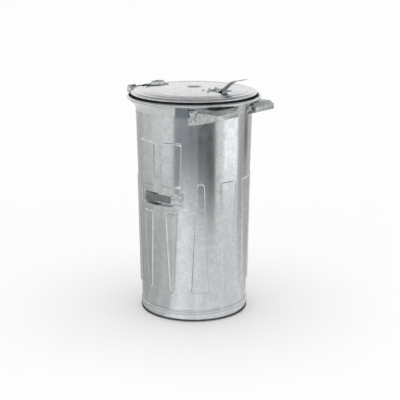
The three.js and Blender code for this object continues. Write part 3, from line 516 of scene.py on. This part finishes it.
def makeBodyWall():
    rows = wallProfile()
    columnCount = len(columnAngles(300))
    bpy.ops.mesh.primitive_grid_add(x_subdivisions=columnCount, y_subdivisions=len(rows) - 1, size=2)
    piece = bpy.context.object
    piece.name = "bodyWall"
    grid = sorted(piece.data.vertices, key=lambda v: (round(v.co.y, 5), round(v.co.x, 5)))
    across = columnCount + 1
    for rowIndex, (radius, height) in enumerate(rows):
        angles = columnAngles(min(height, wall["straightFrom"]))
        for columnIndex in range(across):
            vertex = grid[rowIndex * across + columnIndex]
            angle = angles[columnIndex % columnCount]
            lift = pressedHeight(math.degrees(angle), height) if height < wall["neckHeight"] else 0
            spread = (radius + lift) * mm
            vertex.co = (spread * math.sin(angle), -spread * math.cos(angle), height * mm)
    mergeAndTurnOut(piece)
    return piece


# the opening for a grip's cup, cut by a block that reaches through the wall
grip = {"height": 469, "halfLength": 66, "halfHeight": 24, "corner": 14,
        "blockMiddle": 230, "blockReach": 106}


def gripBlock(side):
    middle = (side * grip["blockMiddle"] * mm, 0, grip["height"] * mm)
    bpy.ops.mesh.primitive_cube_add(size=1, location=middle)
    block = bpy.context.object
    block.scale = (grip["blockReach"] * mm, 2 * grip["halfLength"] * mm, 2 * grip["halfHeight"] * mm)
    applyPlace(block)
    bpy.ops.object.mode_set(mode="EDIT")
    bpy.ops.mesh.select_all(action="DESELECT")
    bpy.ops.object.mode_set(mode="OBJECT")
    for edge in block.data.edges:
        a, b = (block.data.vertices[i].co for i in edge.vertices)
        edge.select = abs(a.y - b.y) < 1e-6 and abs(a.z - b.z) < 1e-6
    bpy.ops.object.mode_set(mode="EDIT")
    bpy.ops.mesh.bevel(offset=grip["corner"] * mm, segments=6)
    bpy.ops.object.mode_set(mode="OBJECT")
    return block


def cutWith(piece, cutter):
    modifier = piece.modifiers.new("cut", "BOOLEAN")
    modifier.operation = "DIFFERENCE"
    modifier.solver = "EXACT"
    modifier.object = cutter
    makeActive(piece)
    bpy.ops.object.modifier_apply(modifier=modifier.name)
    bpy.data.objects.remove(cutter)


bodyWall = makeBodyWall()
solid = bodyWall.modifiers.new("sheet", "SOLIDIFY")
solid.thickness = wall["sheet"] * mm
solid.offset = -1
applyModifiers(bodyWall)
for side in (1, -1):
    cutWith(bodyWall, gripBlock(side))
smoothByAngle(bodyWall, 40)
dress(bodyWall, "body_shell")
print("body wall made", len(bodyWall.data.polygons))


# turned pieces

def spunPiece(name, profile, steps):
    # profile: (radius, height) in millimetres, spun about the can's axis
    bpy.ops.mesh.primitive_circle_add(vertices=len(profile), radius=1)
    piece = bpy.context.object
    piece.name = name
    for vertex, (radius, height) in zip(piece.data.vertices, profile):
        vertex.co = (0, -radius * mm, height * mm)
    bpy.ops.object.mode_set(mode="EDIT")
    bpy.ops.mesh.select_all(action="SELECT")
    bpy.ops.mesh.spin(steps=steps, angle=2 * math.pi, center=(0, 0, 0), axis=(0, 0, 1))
    bpy.ops.object.mode_set(mode="OBJECT")
    mergeAndTurnOut(piece, 0.00001)
    return piece


def offsetProfile(path, distance):
    shifted = []
    for i, (x, y) in enumerate(path):
        before = path[max(i - 1, 0)]
        after = path[min(i + 1, len(path) - 1)]
        dx, dy = after[0] - before[0], after[1] - before[1]
        length = math.hypot(dx, dy)
        shifted.append((x - dy / length * distance, y + dx / length * distance))
    return shifted


def smoothed(points, rounds=2):
    # corner cutting: each round replaces a corner by two points nearer to the curve
    for _ in range(rounds):
        finer = [points[0]]
        for (ax, ay), (bx, by) in zip(points, points[1:]):
            finer += [(0.75 * ax + 0.25 * bx, 0.75 * ay + 0.25 * by),
                      (0.25 * ax + 0.75 * bx, 0.25 * ay + 0.75 * by)]
        points = finer + [points[-1]]
    return points


def outwardsFrom(radius, offsets):
    # offsets: (distance in from the radius, height)
    return [(radius - inwards, height) for inwards, height in offsets]


# two beads up the hoop's outer face, with a groove between them
foot = {"radius": 206.1, "innerRadius": 190, "sheet": 1.2,
        "lowerBead": [(3.6, 0.05), (0.8, 1.2), (0, 6), (-0.05, 16), (0.3, 25), (1.6, 29.2)],
        "upperBead": [(1.8, 29.8), (0.5, 31.5), (0.3, 35), (0.9, 38.5), (2.4, 40.2)],
        "topEdge": [(2.5, 41.2), (2.4, 44.6)]}
footPath = ([(foot["innerRadius"], 14), (foot["innerRadius"], 1.5), (foot["innerRadius"] + 1.5, 0.05)]
            + outwardsFrom(foot["radius"], foot["lowerBead"][:1])
            + smoothed(outwardsFrom(foot["radius"], foot["lowerBead"]))[1:]
            + smoothed(outwardsFrom(foot["radius"], foot["upperBead"]))
            + outwardsFrom(foot["radius"], foot["topEdge"]))
footRing = spunPiece("footRing", footPath + offsetProfile(footPath, foot["sheet"])[::-1], 160)
smoothByAngle(footRing, 35)
dress(footRing, "foot_ring")

# a flat plate, a gutter round it and a flange that hangs down the wall
bottomSize = {"edge": 199.4, "sheet": 2, "top": 36, "flange": [(0, 5), (0, 22)],
              "gutter": [(0, 24), (1, 29), (8, 30), (18, 30), (26, 31), (33, 35.6), (44, 36)]}
bottomPath = (outwardsFrom(bottomSize["edge"], bottomSize["flange"])
              + smoothed(outwardsFrom(bottomSize["edge"], bottomSize["gutter"]))
              + [(radius, bottomSize["top"]) for radius in (120, 60, 0.01)])
bottomUnderside = offsetProfile(bottomPath, bottomSize["sheet"])[::-1]
bottomPlate = spunPiece("bottomPlate", bottomPath + bottomUnderside, 120)
smoothByAngle(bottomPlate, 35)
dress(bottomPlate, "bottom_plate")
print("foot ring and bottom made")


# rings: (radius, rise over the top of the rolled edge); sink: (radius, drop under the dome at its edge)
lidSize = {"radius": 238, "edgeBottom": 838.5, "roll": 5, "rollFrom": 205, "rollTo": 440, "rollSteps": 18,
           "sheet": 1.2, "dome": 862.8, "domeRadius": 177, "domeDrop": 7.1, "backCut": 221, "sinkEdge": 30,
           "rings": [(232, -0.9), (230, 0.4), (227, 3.1), (224, 3.6), (219, 3.1), (213, 2.6), (208, 3.4),
                     (203, 6.0), (199, 6.5), (194, 5.6), (189, 4.9), (184, 6.0)],
           "sink": [(28, 1.8), (25, 3.6), (21, 4.2), (10, 4.3), (0.2, 4.3)]}


def domeAt(radius):
    return lidSize["dome"] - lidSize["domeDrop"] * (radius / lidSize["domeRadius"]) ** 2


def lidProfile():
    edgeTop = lidSize["edgeBottom"] + 2 * lidSize["roll"]
    rollCentre = (lidSize["radius"] - lidSize["roll"], lidSize["edgeBottom"] + lidSize["roll"])
    roll = arc(rollCentre, lidSize["roll"] - rollInset, lidSize["rollFrom"], lidSize["rollTo"],
               lidSize["rollSteps"])
    rings = [(radius, edgeTop + rise) for radius, rise in lidSize["rings"]]
    rings += [(178, domeAt(178) + 0.1), (170, domeAt(170))]
    dome = [(radius, domeAt(radius)) for radius in range(160, 33, -9)]
    sink = [(34, domeAt(34)), (31, domeAt(31) - 0.2)]
    sink += [(radius, domeAt(lidSize["sinkEdge"]) - drop) for radius, drop in lidSize["sink"]]
    return roll + smoothed(rings) + dome + smoothed(sink)


lidPath = lidProfile()
lidShell = spunPiece("lidShell", lidPath + offsetProfile(lidPath, lidSize["sheet"])[::-1], 160)


def roundedBlock(name, low, high, corner):
    middle = [(a + b) / 2 * mm for a, b in zip(low, high)]
    bpy.ops.mesh.primitive_cube_add(size=1, location=middle)
    block = bpy.context.object
    block.name = name
    block.scale = [(b - a) * mm for a, b in zip(low, high)]
    applyPlace(block)
    for edge in block.data.edges:
        a, b = (block.data.vertices[i].co for i in edge.vertices)
        edge.select = abs(a.x - b.x) < 1e-6 and abs(a.y - b.y) < 1e-6
    if corner:
        bpy.ops.object.mode_set(mode="EDIT")
        bpy.ops.mesh.select_mode(type="EDGE")
        bpy.ops.mesh.bevel(offset=corner * mm, segments=6)
        bpy.ops.object.mode_set(mode="OBJECT")
    return block


def blockOf(name):
    low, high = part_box(name)
    return Vector(low), Vector(high)


# the pan's opening and the straight edge at the hinge, cut by blocks that reach through the lid
pan = {"near": 86, "far": 158, "half": 38, "corner": 12}
cutter = {"low": 800, "high": 900, "half": 150, "back": 300}
cutWith(lidShell, roundedBlock("panOpening", (-pan["half"], -pan["far"], cutter["low"]),
                               (pan["half"], -pan["near"], cutter["high"]), pan["corner"]))
cutWith(lidShell, roundedBlock("backEdge", (-cutter["half"], lidSize["backCut"], cutter["low"]),
                               (cutter["half"], cutter["back"], cutter["high"]), 0))
smoothByAngle(lidShell, 40)
dress(lidShell, "lid_shell")
print("lid made")


# plates and pins: the frame's own shapes with their edges eased

easing = {"steps": 3, "edgeAngle": 25, "flatAngle": 1, "smoothAngle": 32}


def easedCopy(nodeName, pieceName, width):
    piece = bpy.data.objects.new(pieceName, nodes[nodeName].data.copy())
    bpy.context.scene.collection.objects.link(piece)
    makeActive(piece)
    bpy.ops.object.mode_set(mode="EDIT")
    bpy.ops.mesh.select_all(action="SELECT")
    bpy.ops.mesh.remove_doubles(threshold=0.01 * mm)
    bpy.ops.mesh.dissolve_limited(angle_limit=math.radians(easing["flatAngle"]))
    bpy.ops.object.mode_set(mode="OBJECT")
    ease = piece.modifiers.new("ease", "BEVEL")
    ease.width = width * mm
    ease.segments = easing["steps"]
    ease.limit_method = "ANGLE"
    ease.angle_limit = math.radians(easing["edgeAngle"])
    applyModifiers(piece)
    smoothByAngle(piece, easing["smoothAngle"])
    dress(piece, nodeName, ownFinish.get(nodeName))
    return piece


for nodeName, pieceName, width in (
        ("lifting_ear_left", "leftEar", 0.9), ("lifting_ear_right", "rightEar", 0.9),
        ("grip_strap_left", "leftStrap", 0.8), ("grip_strap_right", "rightStrap", 0.8),
        ("grip_cup_left", "leftCup", 0.3), ("grip_cup_right", "rightCup", 0.3),
        ("hinge_bracket", "hingeBracket", 0.8), ("hinge_strap", "hingeStrap", 0.8),
        ("lever_pan", "leverPan", 0.4), ("lid_lever", "lidLever", 0.9), ("lid_collar", "lidCollar", 0.3),
        ("hinge_pin", "hingePin", 0.4), ("pin_washer_left", "leftWasher", 0.4),
        ("pin_washer_right", "rightWasher", 0.4), ("split_pin", "splitPin", 0.2)):
    easedCopy(nodeName, pieceName, width)
print("plates and pins made")


# a card behind each strap lights the cup, as the bright metal round it would
cupCard = {"level": 0.8, "behind": 5, "halfLength": 54, "low": 449, "high": 488}
for nodeName in ("grip_strap_left", "grip_strap_right"):
    low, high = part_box(nodeName)
    side = 1 if high[0] > 0 else -1
    barX = max(high[0], -low[0]) - cupCard["behind"] * mm
    middleZ = (cupCard["low"] + cupCard["high"]) / 2 * mm
    bpy.ops.mesh.primitive_plane_add(size=1, location=(side * barX, 0, middleZ), rotation=(0, math.pi / 2, 0))
    card = bpy.context.object
    card.name = nodeName + "_card"
    card.scale = ((cupCard["high"] - cupCard["low"]) * mm, 2 * cupCard["halfLength"] * mm, 1)
    applyPlace(card)
    glowCard(card, (cupCard["level"],) * 3 + (1,))


# rivets: one domed rivet, copied to each place

rivet = {"head": 5.5, "headHeight": 3, "headSteps": 7, "shank": 2.6,
         "tail": 4.4, "tailHeight": 1.8, "tailFlat": 0.6, "tailShoulder": (0.95, 0.6)}


def wallLean(height):
    if height <= wall["neckHeight"]:
        return math.atan2(wall["neckRadius"] - wall["footRadius"], wall["neckHeight"])
    points = funnelPoints(4)
    for low, high in zip(points, points[1:]):
        if height <= high.y:
            break
    return math.atan2(high.x - low.x, high.y - low.y)


def rivetAxis(nodeName):
    if bodyOf[nodeName] == "lid":
        return Vector((0, 0, 1))
    low, high = blockOf(nodeName)
    middle = (low + high) / 2
    around = math.atan2(middle.x, -middle.y)
    lean = wallLean(middle.z / mm)
    return Vector((math.sin(around) * math.cos(lean), -math.cos(around) * math.cos(lean), -math.sin(lean)))


def rivetPiece(nodeName, clamped):
    # clamped: thickness between the head and the tail
    head, height, shank = rivet["head"], rivet["headHeight"], rivet["shank"]
    tail, tailHeight = rivet["tail"], rivet["tailHeight"]
    acrossShare, downShare = rivet["tailShoulder"]
    steps = rivet["headSteps"]
    angles = [math.radians(90 * i / steps) for i in range(steps)]
    dome = [(head * math.cos(a), height * math.sin(a)) for a in angles]
    end = -clamped - tailHeight
    profile = ([(shank, -clamped), (shank, 0)] + dome
               + [(0.01, height), (0.01, end), (rivet["tailFlat"] * tail, end),
                  (acrossShare * tail, -clamped - downShare * tailHeight), (tail, -clamped)])
    return spunPiece(nodeName + "_head", profile, 18)


for nodeName in sorted(name for name in slotOf if "_rivet_" in name):
    axis = rivetAxis(nodeName)
    low, high = blockOf(nodeName)
    middle = (low + high) / 2
    reaches = [(vertex.co - middle).dot(axis) / mm for vertex in nodes[nodeName].data.vertices]
    clamped = max(reaches) - min(reaches) - rivet["headHeight"] - rivet["tailHeight"]
    piece = rivetPiece(nodeName, clamped)
    seat = middle + axis * (max(reaches) - rivet["headHeight"]) * mm
    piece.matrix_world = Matrix.Translation(seat) @ axis.to_track_quat("Z", "Y").to_matrix().to_4x4()
    applyPlace(piece)
    smoothByAngle(piece, 40)
    dress(piece, nodeName)
print("rivets made")
